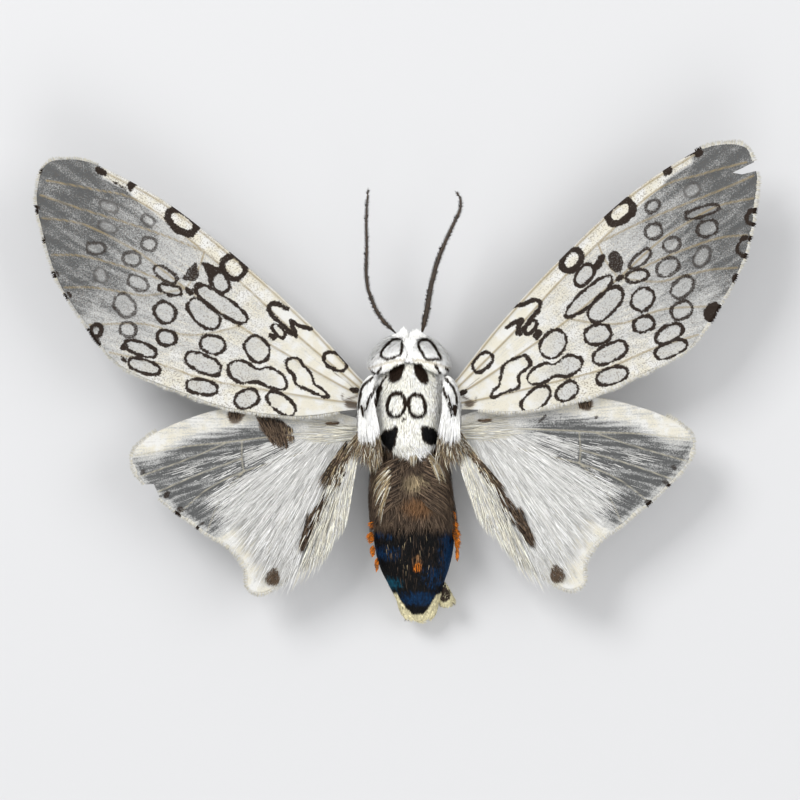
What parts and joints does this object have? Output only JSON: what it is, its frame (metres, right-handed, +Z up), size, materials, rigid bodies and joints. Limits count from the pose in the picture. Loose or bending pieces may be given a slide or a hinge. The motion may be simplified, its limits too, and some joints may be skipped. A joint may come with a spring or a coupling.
{
  "type": "spread leopard moth specimen",
  "caption": "Dried giant leopard moth with spread, ring-patterned white wings and a blue-black abdomen, resting flat on its belly as a still display model.",
  "frame": {"origin": "on the floor under the middle of the thorax, on the flat of the belly", "axes": "+Z up, +Y towards the head, +X towards the moth's right wing tip"},
  "size_m": [0.0755, 0.0506, 0.0095],
  "materials": {
    "white_coat": "matt dense scales and short hair",
    "forewing_scales": "matt scales with dark brown rings, grey and thin towards the tip",
    "hindwing_scales": "thin smoky membrane under sparse white scales and hair",
    "brown_hair": "long soft grey-brown hair",
    "blue_black_scales": "sleek blue-black scales with a metallic sheen",
    "cream_scales": "matt cream hair",
    "antenna_horn": "dark brown horn, satin",
    "banded_leg": "blue-black horn with white bands",
    "eye": "black, finely faceted, glossy"
  },
  "bodies": {
    "root": {"thorax": "white_coat", "collar_left": "white_coat", "collar_right": "white_coat", "tegula_left": "white_coat", "tegula_right": "white_coat", "head": "white_coat", "palp_left": "white_coat", "palp_right": "white_coat", "eye_left": "eye", "eye_right": "eye", "antenna_left": "antenna_horn", "antenna_right": "antenna_horn", "forewing_left": "forewing_scales", "forewing_right": "forewing_scales", "hindwing_left": "hindwing_scales", "hindwing_right": "hindwing_scales", "abdomen_base": "brown_hair", "abdomen": "blue_black_scales", "abdomen_end": "cream_scales", "clasper_left": "cream_scales", "clasper_right": "cream_scales", "foreleg_left": "banded_leg", "foreleg_right": "banded_leg", "midleg_left": "banded_leg", "midleg_right": "banded_leg", "hindleg_left": "banded_leg", "hindleg_right": "banded_leg"}
  },
  "joints": []
}
